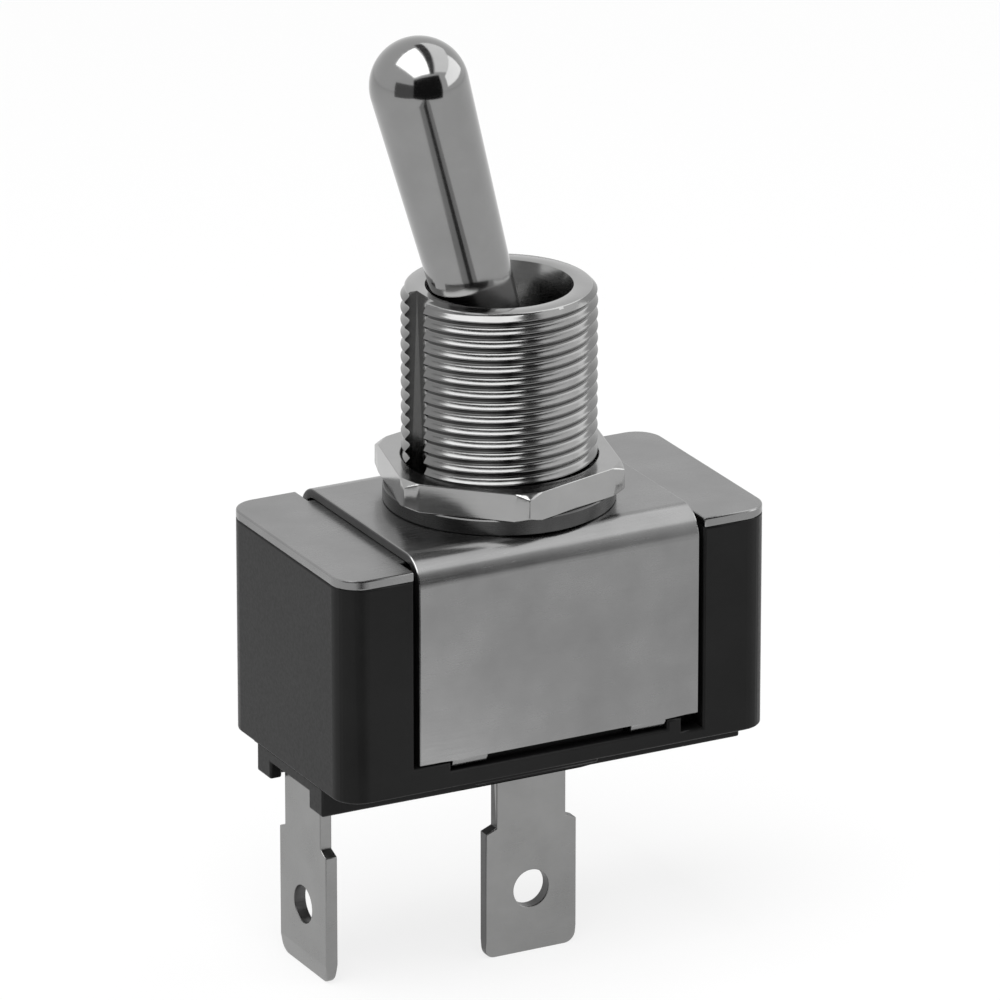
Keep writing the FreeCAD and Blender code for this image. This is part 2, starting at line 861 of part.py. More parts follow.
# Domed silver contact riveted through the rocker's long wing.
def moving_contact():
    body = new_body("moving_contact")
    radius = cell.contact_diameter / 2
    edge = dome_centre - across(cell.contact_dome, radius)
    head_top = wing_top + cell.contact_head_height
    profile = sketch_on(body, "XZ_Plane")
    axis = -contact_arm
    add_outline(
        profile,
        [
            (axis, contact_low, cell.contact_dome),
            (axis + radius, edge),
            (axis + radius, wing_bottom),
            (axis + shank_radius, wing_bottom),
            (axis + shank_radius, wing_top),
            (axis + cell.contact_head / 2, wing_top),
            (axis + shank_radius, head_top),
            (axis, head_top),
        ],
    )
    turning = body.newObject("PartDesign::Revolution", "Revolution")
    turning.Profile = profile
    turning.ReferenceAxis = (profile, [f"Edge{len(profile.Geometry)}"])
    turning.Angle = 360
    turn(body, cell.rocker_swing, ALONG_Y)
    lay(body, z=rocker_pivot)
    return body


# Bracket that carries the rocker: a channel with an open notch in each ear.
def rocker_bracket():
    body = new_body("rocker_bracket")
    channel = sketch_on(body, "YZ_Plane")
    inside = cell.bracket_inner / 2
    outside = inside + cell.bracket_thickness
    web_top = foot_top + cell.bracket_thickness
    ear_top = rocker_pivot + cell.bracket_rise
    bend = cell.bracket_bend
    small = bend - cell.bracket_thickness
    flat = outside - bend
    add_outline(
        channel,
        [
            (-flat, foot_top),
            (flat, foot_top, bend),
            (outside, foot_top + bend),
            (outside, ear_top),
            (inside, ear_top),
            (inside, web_top + small, -small),
            (inside - small, web_top),
            (small - inside, web_top, -small),
            (-inside, web_top + small),
            (-inside, ear_top),
            (-outside, ear_top),
            (-outside, foot_top + bend, bend),
        ],
    )
    pad(body, channel, cell.bracket_length, symmetric=True)
    notch_radius = cell.trunnion_diameter / 2 + cell.trunnion_clearance
    seat = sketch_on(body, "XZ_Plane")
    add_circle(seat, 0, rocker_pivot, notch_radius)
    pocket(body, seat, 2 * outside + cell.fit_gap, symmetric=True)
    entry = sketch_on(body, "XZ_Plane")
    above = ear_top + cell.fit_gap
    add_outline(entry, rectangle(-notch_radius, notch_radius, rocker_pivot, above))
    pocket(body, entry, 2 * outside + cell.fit_gap, symmetric=True)
    hole = sketch_on(body, "XY_Plane", web_top)
    add_circle(hole, 0, 0, rivet_radius)
    pocket(body, hole, cell.bracket_thickness)
    return body


# A rivet on the body's own axis: set head above, upset head under the base's platform.
def turned_rivet(body, seat, head_height, shank, head):
    foot = platform_bottom - cell.rivet_head_height
    turned(
        body,
        [
            (0, foot),
            (shank, foot),
            (head, platform_bottom),
            (shank, platform_bottom),
            (shank, seat),
            (head, seat),
            (head, seat + head_height),
            (0, seat + head_height),
        ],
    )


# Rivet through the bracket, the common terminal's foot and the base.
def bracket_rivet():
    body = new_body("bracket_rivet")
    web_top = foot_top + cell.bracket_thickness
    turned_rivet(body, web_top, cell.rivet_head_height, rivet_radius, cell.rivet_head / 2)
    return body


# The outline of a terminal: neck from the given height, shoulders, and a blade with
# rounded tip corners. The neck is neck_half wide on each side.
def blade_outline(top):
    corner = cell.blade_corner
    inner = blade_half - corner
    return [
        (-neck_half, top),
        (-neck_half, shoulder),
        (-blade_half, shoulder - cell.shoulder_slope),
        (-blade_half, blade_tip + corner, corner),
        (-inner, blade_tip),
        (inner, blade_tip, corner),
        (blade_half, blade_tip + corner),
        (blade_half, shoulder - cell.shoulder_slope),
        (neck_half, shoulder),
        (neck_half, top),
    ]


# Cuts the lead-in at a blade's tip: both faces slope together over the last stretch.
def cut_lead_in(body, role, outer_face):
    inner_face = outer_face + cell.blade_thickness
    slope_top = blade_tip + cell.lead_in_height
    section = sketch_on(body, role)
    for face, inwards in ((outer_face, cell.lead_in_depth), (inner_face, -cell.lead_in_depth)):
        add_outline(section, [(face, slope_top), (face, blade_tip), (face + inwards, blade_tip)])
    pocket(body, section, cell.blade_width, symmetric=True)


# Common terminal: blade parallel to the long side, foot flat on the base's floor.
def common_terminal():
    body = new_body("common_terminal")
    inner_face = cell.common_blade_face - cell.blade_thickness
    blade = sketch_on(body, "XZ_Plane", inner_face)
    add_outline(blade, blade_outline(foot_top))
    add_circle(blade, 0, hole_height, cell.blade_hole / 2)
    pad(body, blade, cell.blade_thickness)
    foot = sketch_on(body, "XY_Plane", floor_top)
    add_outline(foot, rectangle(-neck_half, neck_half, -inner_face, cell.common_foot_reach))
    add_circle(foot, 0, 0, rivet_radius)
    pad(body, foot, cell.blade_thickness)
    face = -cell.common_blade_face.value

    def bend_edge(edge):
        middle = edge.CenterOfMass
        return abs(middle.y - face) < 1e-4 and abs(middle.z - foot_top.value) < 1e-4

    fillet_edges(body, cell.foot_bend, bend_edge)
    cut_lead_in(body, "YZ_Plane", -cell.common_blade_face)
    return body


# End terminal: blade parallel to the end wall, foot under the fixed contact.
def end_terminal():
    body = new_body("end_terminal")
    blade = sketch_on(body, "YZ_Plane", -end_blade_face)
    add_outline(blade, blade_outline(foot_top))
    add_circle(blade, 0, hole_height, cell.blade_hole / 2)
    pad(body, blade, cell.blade_thickness)
    foot = sketch_on(body, "XY_Plane", floor_top)
    inner_face = -end_blade_face + cell.blade_thickness
    reach = fixed_contact_x + cell.end_foot_reach
    add_outline(foot, rectangle(inner_face, reach, -neck_half, neck_half))
    add_circle(foot, fixed_contact_x, 0, shank_radius)
    pad(body, foot, cell.blade_thickness)
    face = -end_blade_face.value

    def bend_edge(edge):
        middle = edge.CenterOfMass
        return abs(middle.x - face) < 1e-4 and abs(middle.z - foot_top.value) < 1e-4

    fillet_edges(body, cell.foot_bend, bend_edge)
    cut_lead_in(body, "XZ_Plane", -end_blade_face)
    return body


# Fixed contact: a silver-faced rivet that also holds the end terminal to the base.
def fixed_contact():
    body = new_body("fixed_contact")
    height = fixed_contact_top - foot_top
    turned_rivet(body, foot_top, height, shank_radius, cell.fixed_contact_diameter / 2)
    lay(body, x=fixed_contact_x)
    return body


PIECES = [
    base_housing(),
    cover_plate(),
    insulating_sheet(),
    mounting_frame(),
    threaded_bushing(),
    hex_nut(),
    toggle_lever(),
    pivot_pin(),
    lever_spring(),
    plunger(),
    contact_rocker(),
    moving_contact(),
    rocker_bracket(),
    bracket_rivet(),
    common_terminal(),
    end_terminal(),
    fixed_contact(),
]

document.recompute()

for thing in document.Objects:
    if "Invalid" in thing.State or "Error" in thing.State:
        raise RuntimeError(f"{thing.Label} could not be built: {thing.State}")
    if thing.TypeId in ("PartDesign::Pocket", "PartDesign::Groove"):
        if thing.Shape.Volume > thing.BaseFeature.Shape.Volume - 1e-6:
            raise RuntimeError(f"{thing.Name} of {thing.getParentGeoFeatureGroup().Label} cuts nothing")

for piece in PIECES:
    if piece.Shape.isNull() or not piece.Shape.isValid() or len(piece.Shape.Solids) != 1:
        raise RuntimeError(f"{piece.Label} is not one valid solid")

os.makedirs("parts", exist_ok=True)
for piece in PIECES:
    piece.Shape.exportStep(f"parts/{piece.Label}.step")
    print(f"{piece.Label}: {piece.Shape.Volume:.1f} mm3")
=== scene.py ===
import json
import math

import bmesh
import bpy
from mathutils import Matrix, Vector


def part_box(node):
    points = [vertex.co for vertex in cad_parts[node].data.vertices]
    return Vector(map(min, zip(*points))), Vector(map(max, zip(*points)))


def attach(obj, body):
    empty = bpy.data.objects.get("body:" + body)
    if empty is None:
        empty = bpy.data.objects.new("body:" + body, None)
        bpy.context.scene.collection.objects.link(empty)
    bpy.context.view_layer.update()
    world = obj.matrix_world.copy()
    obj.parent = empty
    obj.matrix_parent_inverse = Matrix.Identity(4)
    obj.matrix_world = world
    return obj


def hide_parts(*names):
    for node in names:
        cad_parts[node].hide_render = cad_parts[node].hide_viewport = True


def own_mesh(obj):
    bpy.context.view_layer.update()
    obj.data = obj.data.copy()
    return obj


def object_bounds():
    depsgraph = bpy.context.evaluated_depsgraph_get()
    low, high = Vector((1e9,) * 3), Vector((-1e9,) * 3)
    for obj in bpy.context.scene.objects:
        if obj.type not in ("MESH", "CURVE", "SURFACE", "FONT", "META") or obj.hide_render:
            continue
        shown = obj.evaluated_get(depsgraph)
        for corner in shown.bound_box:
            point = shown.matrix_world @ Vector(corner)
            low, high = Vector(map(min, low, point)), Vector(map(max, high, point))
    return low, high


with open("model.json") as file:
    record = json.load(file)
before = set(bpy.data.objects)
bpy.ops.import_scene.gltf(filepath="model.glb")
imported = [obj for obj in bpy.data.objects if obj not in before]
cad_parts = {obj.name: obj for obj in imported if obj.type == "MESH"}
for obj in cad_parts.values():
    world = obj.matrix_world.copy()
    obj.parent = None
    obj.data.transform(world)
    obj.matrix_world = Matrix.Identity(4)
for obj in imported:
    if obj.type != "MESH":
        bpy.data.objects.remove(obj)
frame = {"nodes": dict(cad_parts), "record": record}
nodes = frame["nodes"]
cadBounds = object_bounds()
mm = 0.001
print("frame loaded:", len(nodes), "nodes")


# Helpers for working in edit mode. Lengths in millimetres, angles in degrees.

weldGap = 0.0005  # points closer than this are one
tiny = 0.0001  # radius of a ring that stands for a point
mergeAngle = 0.6  # triangles that differ less are one face
flatNormal = 0.9999  # a face this square to an axis is one of the large flats


def pickOnly(piece):
    bpy.ops.object.select_all(action="DESELECT")
    piece.select_set(True)
    bpy.context.view_layer.objects.active = piece


def openMesh(piece, mode="VERT"):
    pickOnly(piece)
    bpy.ops.object.mode_set(mode="EDIT")
    bpy.ops.mesh.select_mode(type=mode)
    bpy.ops.mesh.select_all(action="DESELECT")


def closeMesh():
    bpy.ops.object.mode_set(mode="OBJECT")


def pickEdges(piece, wanted):  # wanted gets an edge's middle in millimetres
    shape = bmesh.from_edit_mesh(piece.data)
    for edge in shape.edges:
        middle = (edge.verts[0].co + edge.verts[1].co) / 2 / mm
        edge.select_set(edge.select and bool(wanted(middle)))
    bmesh.update_edit_mesh(piece.data)


def applyModifier(piece, kind, **settings):
    pickOnly(piece)
    modifier = piece.modifiers.new(kind.title(), kind)
    for name, value in settings.items():
        setattr(modifier, name, value)
    bpy.ops.object.modifier_apply(modifier=modifier.name)


def cut(piece, cutter):
    applyModifier(piece, "BOOLEAN", operation="DIFFERENCE", solver="EXACT", object=cutter)
    bpy.data.objects.remove(cutter)


def settle(piece):  # the piece's place goes into its mesh
    pickOnly(piece)
    bpy.ops.object.transform_apply(location=True, rotation=True, scale=True)


def smooth(piece, angle):
    pickOnly(piece)
    bpy.ops.object.shade_smooth_by_angle(angle=math.radians(angle))


# A copy of a CAD node, its loose triangles merged into whole faces
def copyOf(node, name):
    piece = bpy.data.objects.new(name, nodes[node].data.copy())
    bpy.context.scene.collection.objects.link(piece)
    openMesh(piece)
    bpy.ops.mesh.select_all(action="SELECT")
    bpy.ops.mesh.remove_doubles(threshold=weldGap * mm)
    bpy.ops.mesh.dissolve_limited(angle_limit=math.radians(mergeAngle))
    closeMesh()
    return piece


# Rounds the sharp edges that pass the test, as tumbling and moulding leave them
def roundEdges(piece, radius, wanted=lambda middle: True, sharpness=26, segments=3):
    openMesh(piece, "EDGE")
    bpy.ops.mesh.edges_select_sharp(sharpness=math.radians(sharpness))
    pickEdges(piece, wanted)
    bpy.ops.mesh.bevel(
        offset=radius * mm,
        segments=segments,
        profile=0.5,
        affect="EDGES",
        clamp_overlap=False,
    )
    bpy.ops.mesh.select_all(action="SELECT")
    bpy.ops.mesh.quads_convert_to_tris(quad_method="BEAUTY", ngon_method="BEAUTY")
    closeMesh()


def finishSurface(piece, angle):
    smooth(piece, angle)
    for face in piece.data.polygons:  # the large flats stay flat
        if max(abs(part) for part in face.normal) > flatNormal:
            face.use_smooth = False
    applyModifier(piece, "WEIGHTED_NORMAL", keep_sharp=True, weight=100)


def putOn(piece, node, body):
    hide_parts(node)
    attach(piece, body)


# A turned shape from rings of height and radius, each extruded from the one before. A hollow
# piece ends on its first ring, and a radius of 0 at the end closes the tip.
def turnedPiece(name, rings, sides, hollow=False):
    height, radius = rings[0]
    bpy.ops.object.select_all(action="DESELECT")
    bpy.ops.mesh.primitive_circle_add(vertices=sides, radius=radius * mm, location=(0, 0, height * mm))
    piece = bpy.context.object
    piece.name = name
    settle(piece)
    openMesh(piece)
    bpy.ops.mesh.select_all(action="SELECT")
    for nextHeight, nextRadius in rings[1:]:
        rise = (nextHeight - height) * mm
        bpy.ops.mesh.extrude_region_move(TRANSFORM_OT_translate={"value": (0, 0, rise)})
        grow = max(nextRadius, tiny) / radius
        bpy.ops.transform.resize(
            value=(grow, grow, 1), center_override=(0, 0, nextHeight * mm)
        )
        height, radius = nextHeight, max(nextRadius, tiny)
    if rings[-1][1] == 0:
        bpy.ops.mesh.merge(type="CENTER")
    bpy.ops.mesh.select_all(action="SELECT")
    if hollow:
        bpy.ops.mesh.remove_doubles(threshold=weldGap * mm)
    bpy.ops.mesh.normals_make_consistent(inside=False)
    closeMesh()
    return piece


# Materials

def newGroup(name, inputs, outputs):
    group = bpy.data.node_groups.new(name, "ShaderNodeTree")
    for label, default in inputs:
        socket = group.interface.new_socket(label, in_out="INPUT", socket_type="NodeSocketFloat")
        socket.default_value = default
    for label in outputs:
        group.interface.new_socket(label, in_out="OUTPUT", socket_type="NodeSocketFloat")
    start = group.nodes.new("NodeGroupInput")
    end = group.nodes.new("NodeGroupOutput")
    return group, start, end


def addNode(tree, kind, values=None, **settings):
    node = tree.nodes.new(kind)
    for name, value in settings.items():
        setattr(node, name, value)
    for name, value in (values or {}).items():
        node.inputs[name].default_value = value
    return node


def mathStep(tree, operation, first, second):
    node = tree.nodes.new("ShaderNodeMath")
    node.operation = operation
    for socket, value in zip(node.inputs, (first, second)):
        if isinstance(value, (int, float)):
            socket.default_value = value
        else:
            tree.links.new(value, socket)
    return node.outputs[0]


# Fine parallel grain: noise drawn out along X, as rolling leaves it in sheet metal
def makeRolledGrain():
    group, start, end = newGroup(
        "rolledGrain", [("Fineness", 9000), ("Draw", 0.04)], ["Grain", "Cloud"]
    )
    place = addNode(group, "ShaderNodeTexCoord")
    split = addNode(group, "ShaderNodeSeparateXYZ")
    group.links.new(place.outputs["Object"], split.inputs[0])
    across = addNode(group, "ShaderNodeCombineXYZ")
    drawn = mathStep(group, "MULTIPLY", split.outputs["X"], start.outputs["Draw"])
    group.links.new(drawn, across.inputs["X"])
    group.links.new(split.outputs["Y"], across.inputs["Y"])
    group.links.new(split.outputs["Z"], across.inputs["Z"])
    grain = addNode(group, "ShaderNodeTexNoise", {"Detail": 3, "Roughness": 0.6})
    group.links.new(across.outputs[0], grain.inputs["Vector"])
    group.links.new(start.outputs["Fineness"], grain.inputs["Scale"])
    cloud = addNode(group, "ShaderNodeTexNoise", {"Scale": 260, "Detail": 4, "Roughness": 0.55})
    group.links.new(place.outputs["Object"], cloud.inputs["Vector"])
    group.links.new(grain.outputs["Fac"], end.inputs["Grain"])
    group.links.new(cloud.outputs["Fac"], end.inputs["Cloud"])
    return group


# Turning marks: fine rings about the Z axis
def makeTurningMarks():
    group, start, end = newGroup(
        "turningMarks", [("Fineness", 14000), ("Draw", 0.06)], ["Rings", "Cloud"]
    )
    place = addNode(group, "ShaderNodeTexCoord")
    split = addNode(group, "ShaderNodeSeparateXYZ")
    group.links.new(place.outputs["Object"], split.inputs[0])
    flat = addNode(group, "ShaderNodeCombineXYZ")
    for axis in "XY":
        drawn = mathStep(group, "MULTIPLY", split.outputs[axis], start.outputs["Draw"])
        group.links.new(drawn, flat.inputs[axis])
    group.links.new(split.outputs["Z"], flat.inputs["Z"])
    rings = addNode(group, "ShaderNodeTexNoise", {"Detail": 2, "Roughness": 0.5})
    group.links.new(flat.outputs[0], rings.inputs["Vector"])
    group.links.new(start.outputs["Fineness"], rings.inputs["Scale"])
    cloud = addNode(group, "ShaderNodeTexNoise", {"Scale": 320, "Detail": 4, "Roughness": 0.6})
    group.links.new(place.outputs["Object"], cloud.inputs["Vector"])
    group.links.new(rings.outputs["Fac"], end.inputs["Rings"])
    group.links.new(cloud.outputs["Fac"], end.inputs["Cloud"])
    return group


# Moulded surface: flow clouds and a fine pebble
def makeMouldSkin():
    group, start, end = newGroup("mouldSkin", [("Pebble", 5200)], ["Pebbles", "Cloud"])
    place = addNode(group, "ShaderNodeTexCoord")
    cloud = addNode(group, "ShaderNodeTexNoise", {"Scale": 190, "Detail": 4, "Roughness": 0.55})
    pebbles = addNode(group, "ShaderNodeTexNoise", {"Detail": 2, "Roughness": 0.5})
    group.links.new(start.outputs["Pebble"], pebbles.inputs["Scale"])
    for noise, label in ((pebbles, "Pebbles"), (cloud, "Cloud")):
        group.links.new(place.outputs["Object"], noise.inputs["Vector"])
        group.links.new(noise.outputs["Fac"], end.inputs[label])
    return group


# Each group of marks, with the names of its fine and its broad mask
marks = {
    "rolled": (makeRolledGrain(), "Grain", "Cloud"),
    "turned": (makeTurningMarks(), "Rings", "Cloud"),
    "moulded": (makeMouldSkin(), "Pebbles", "Cloud"),
}
cloudRoughness = (-0.02, 0.03)  # added to a finish's own roughness
maskRange = (0.25, 0.75)  # where noise has most of its values


def shade(tree, mask, low, high):  # maps a mask to a range of values
    node = addNode(tree, "ShaderNodeMapRange", {
        "From Min": maskRange[0], "From Max": maskRange[1], "To Min": low, "To Max": high,
    })
    tree.links.new(mask, node.inputs["Value"])
    return node.outputs["Result"]


def tint(tree, mask, dark, light):
    node = addNode(tree, "ShaderNodeMix", data_type="RGBA")
    node.inputs["A"].default_value = (*dark, 1)
    node.inputs["B"].default_value = (*light, 1)
    tree.links.new(shade(tree, mask, 0, 1), node.inputs["Factor"])
    return node.outputs["Result"]


# The metals are written near the grey they show, because they mirror a white room. rough is
# the range of roughness, and relief a bump's strength and its height in millimetres.
finishes = {
    "plated_steel": {
        "name": "platedSheet", "marks": "rolled", "rough": (0.2, 0.28), "relief": (0.1, 0.01),
        "dark": (0.203, 0.203, 0.203), "light": (0.255, 0.255, 0.255),
    },
    "nickel": {
        "name": "turnedNickel", "marks": "turned", "rough": (0.13, 0.19), "relief": (0.08, 0.01),
        "dark": (0.3, 0.3, 0.298), "light": (0.35, 0.35, 0.348),
    },
    "bright_nickel": {
        "name": "polishedNickel", "marks": "turned", "rough": (0.09, 0.13), "relief": (0.04, 0.006),
        "dark": (0.235, 0.235, 0.234), "light": (0.27, 0.27, 0.269),
    },
    "tinned_brass": {
        "name": "tinnedBlade", "marks": "rolled", "rough": (0.26, 0.34), "relief": (0.06, 0.01),
        "dark": (0.225, 0.225, 0.223), "light": (0.28, 0.28, 0.278),
    },
    # Sheared and pierced edges: rougher than the rolled faces, and darker as painted shade for the
    # strap's shadowed cut edges.
    "sheared_and_shaded": {
        "name": "shearedEdgeAndShade", "marks": "rolled", "rough": (0.34, 0.46), "relief": (0.3, 0.02),
        "dark": (0.08, 0.08, 0.08), "light": (0.13, 0.13, 0.13),
    },
    # The collar under the nut: a dark copy of the nickel, painted shade for the shadow and dark
    # reflection under the nut.
    "painted_shade": {
        "name": "paintedShadeCollar", "marks": "turned", "rough": (0.22, 0.32), "relief": (0.1, 0.01),
        "dark": (0.055, 0.055, 0.055), "light": (0.09, 0.09, 0.09),
    },
    # The thread's faces: a darker copy of the nickel, painted shade for the shade and dark reflections
    # in its grooves.
    "threadPaintedShade": {
        "name": "threadPaintedShade", "marks": "turned", "rough": (0.13, 0.2), "relief": (0.08, 0.01),
        "dark": (0.15, 0.15, 0.149), "light": (0.19, 0.19, 0.189),
    },
    "bare_steel": {
        "name": "bareSteel", "marks": "turned", "rough": (0.25, 0.35), "relief": (0.1, 0.01),
        "dark": (0.45, 0.45, 0.45), "light": (0.55, 0.55, 0.55),
    },
    "contact_brass": {
        "name": "contactBrass", "marks": "rolled", "rough": (0.22, 0.32), "relief": (0.1, 0.01),
        "dark": (0.62, 0.44, 0.2), "light": (0.72, 0.53, 0.26),
    },
    "silver": {
        "name": "contactSilver", "marks": "turned", "rough": (0.25, 0.35), "relief": (0.1, 0.01),
        "dark": (0.75, 0.75, 0.74), "light": (0.84, 0.84, 0.82),
    },
    "phenolic": {
        "name": "blackPhenolic", "marks": "moulded", "rough": (0.3, 0.42), "relief": (0.25, 0.01),
        "dark": (0.005, 0.005, 0.005), "light": (0.009, 0.009, 0.009),
        "plain": {"Metallic": 0.0, "Specular IOR Level": 0.14},
    },
    "fibre": {
        "name": "fibreSheet", "marks": "moulded", "rough": (0.6, 0.75), "relief": (0.4, 0.02),
        "dark": (0.06, 0.045, 0.035), "light": (0.09, 0.07, 0.055), "plain": {"Metallic": 0.0},
    },
    "nylon": {
        "name": "nylon", "marks": "moulded", "rough": (0.35, 0.45), "relief": (0.2, 0.01),
        "dark": (0.66, 0.65, 0.6), "light": (0.74, 0.73, 0.68), "plain": {"Metallic": 0.0},
    },
}


def newMaterial(facts):
    material = bpy.data.materials.new(facts["name"])
    material.use_nodes = True
    tree = material.node_tree
    shader = tree.nodes["Principled BSDF"]
    for label, value in facts.get("plain", {"Metallic": 1.0}).items():
        shader.inputs[label].default_value = value
    group, fineLabel, broadLabel = marks[facts["marks"]]
    pattern = addNode(tree, "ShaderNodeGroup", node_tree=group)
    fine, broad = pattern.outputs[fineLabel], pattern.outputs[broadLabel]
    tree.links.new(tint(tree, broad, facts["dark"], facts["light"]), shader.inputs["Base Color"])
    roughness = mathStep(
        tree, "ADD", shade(tree, fine, *facts["rough"]), shade(tree, broad, *cloudRoughness)
    )
    tree.links.new(roughness, shader.inputs["Roughness"])
    strength, height = facts["relief"]
    bump = addNode(tree, "ShaderNodeBump", {"Strength": strength, "Distance": height * mm})
    tree.links.new(fine, bump.inputs["Height"])
    tree.links.new(bump.outputs["Normal"], shader.inputs["Normal"])
    return material


materials = {slot: newMaterial(facts) for slot, facts in finishes.items()}


def coat(piece, slot):
    piece.data.materials.clear()
    piece.data.materials.append(materials[slot])


def coatFaces(piece, finish, wanted):  # wanted gets a face's middle in millimetres, and its normal
    place = len(piece.data.materials)
    piece.data.materials.append(materials[finish])
    for face in piece.data.polygons:
        if wanted(face.center / mm, face.normal):
            face.material_index = place


for row in frame["record"]["subparts"]:
    coat(nodes[row["node"]], row["material_slot"])
print("materials made:", len(materials))


# Lever: a polished bat handle, turned upright and then leant over

lever = {
    "tilt": 15.2,
    "pivot": 4.3,
    "tipDistance": 20.495,
    "tipRadius": 3.0,
    "footRadius": 2.4,
    "ballRadius": 3.9,
    "ballSkirt": 0.7,
    "bellLength": 3.0,
    "armRadius": 1.8,
    "armReach": 10.3,
    "boreRadius": 1.3,
    "boreStart": 3.0,
    "pinRadius": 0.8,
    "pinCutter": 8.58,
    "pinSides": 48,
    "sides": 144,
    "roundSteps": 28,
    "smoothAngle": 40,
}


def makeLever():
    ball, tip = lever["ballRadius"], lever["tipRadius"]
    rings = [
        (-lever["boreStart"], tiny),
        (-lever["boreStart"], lever["boreRadius"]),
        (-lever["armReach"], lever["boreRadius"]),
        (-lever["armReach"], lever["armRadius"]),
        (-lever["bellLength"], lever["armRadius"]),
    ]
    low = -math.asin(lever["ballSkirt"] / ball)
    high = math.acos(lever["footRadius"] / ball)
    for step in range(lever["roundSteps"] + 1):
        angle = low + (high - low) * step / lever["roundSteps"]
        rings.append((ball * math.sin(angle), ball * math.cos(angle)))
    for step in range(lever["roundSteps"] + 1):
        angle = math.pi / 2 * step / lever["roundSteps"]
        rings.append((lever["tipDistance"] + tip * math.sin(angle), tip * math.cos(angle)))
    rings[-1] = (lever["tipDistance"] + tip, 0)
    piece = turnedPiece("batLever", rings, lever["sides"])
    openMesh(piece)  # the ring at the end of the bore becomes a point
    shape = bmesh.from_edit_mesh(piece.data)
    for vert in shape.verts:
        level = abs(vert.co.z + lever["boreStart"] * mm) < tiny * mm
        vert.select_set(level and vert.co.xy.length < weldGap * mm)
    bmesh.update_edit_mesh(piece.data)
    bpy.ops.mesh.merge(type="CENTER")
    closeMesh()
    piece.rotation_euler = (0, -math.radians(lever["tilt"]), 0)
    piece.location = (0, 0, lever["pivot"] * mm)
    settle(piece)
    bpy.ops.object.select_all(action="DESELECT")
    bpy.ops.mesh.primitive_cylinder_add(
        vertices=lever["pinSides"],
        radius=lever["pinRadius"] * mm,
        depth=lever["pinCutter"] * mm,
        location=(0, 0, lever["pivot"] * mm),
        rotation=(math.pi / 2, 0, 0),
    )
    cut(piece, bpy.context.object)
    smooth(piece, lever["smoothAngle"])
    coat(piece, "bright_nickel")
    putOn(piece, "toggle_lever", "lever")


makeLever()
print("lever made")


# Spring in the lever's arm, copied as the CAD spring stands; it is not squashed here as the plunger
# slides up

spring = {"stroke": 0.8, "smoothAngle": 50}


def makeSpring():
    piece = copyOf("lever_spring", "leverSpring")
    smooth(piece, spring["smoothAngle"])
    coat(piece, "bare_steel")
    putOn(piece, "lever_spring", "lever")
    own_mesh(piece)


makeSpring()
print("spring made")


# Bushing: a turned blank, slotted, keyed and threaded. Rings are heights and radii in millimetres.

bushing = {
    "sides": 144,
    "outside": [
        (-5.0, 5.9), (-4.4, 5.9), (-4.4, 5.3), (-2.8, 5.3), (-2.8, 7.03), (-2.73, 7.1), (-1.87, 7.1),
        (-1.8, 7.03), (-1.8, 5.5), (-0.45, 5.5), (0, 5.95), (10.45, 5.95), (10.76, 5.64), (10.8, 5.56),
    ],
    "mouth": [(10.8, 4.57), (10.77, 4.49), (7.0, 3.45), (6.224, 3.45)],
    "seatRadius": 3.95,
    "seatHeight": 4.3,
    "seatSteps": 8,
    "inside": [(2.0, 3.95), (-5.0, 4.75), (-5.0, 5.9)],
    "pinSlot": {"low": (-0.9, -4.7, -5.2), "high": (0.9, 4.7, 5.2)},
    "keyway": {"low": (-7, -1.1, -1.8), "high": (-5.0, 1.1, 11)},
    "keywayEdge": {"low": (-7, -1.2, 1), "high": (-5.5, -1.0, 10)},  # around its long front edge
    "keywayChamfer": 0.36,
    "keywaySharpness": 20,
    "smoothAngle": 38,
    "collarBand": {"heights": (-2.85, -1.75), "radii": (5.6, 8.0)},
    "threadBand": {"heights": (-0.5, 10.7), "radii": (5.6, 5.97)},
}
# The groove's half width at each radius, from its root to just outside the crest
thread = {
    "pitch": 25.4 / 32,
    "groove": [
        (5.63, 0.035), (5.65, 0.09), (5.73, 0.17), (5.82, 0.245), (5.895, 0.31), (5.94, 0.365),
        (6.02, 0.39),
    ],
    "start": -0.9,
    "turns": 16,
    "steps": 96,
    "weldGap": 0.0002,
}


def boxOf(facts):
    low, high = Vector(facts["low"]) * mm, Vector(facts["high"]) * mm
    bpy.ops.object.select_all(action="DESELECT")
    bpy.ops.mesh.primitive_cube_add(size=1, location=(low + high) / 2)
    block = bpy.context.object
    block.scale = high - low
    settle(block)
    return block


def isInBox(at, facts):
    return all(low < place < high for low, place, high in zip(facts["low"], at, facts["high"]))


def isInBand(at, facts):
    lowest, highest = facts["heights"]
    inner, outer = facts["radii"]
    return lowest < at.z < highest and inner < at.xy.length < outer


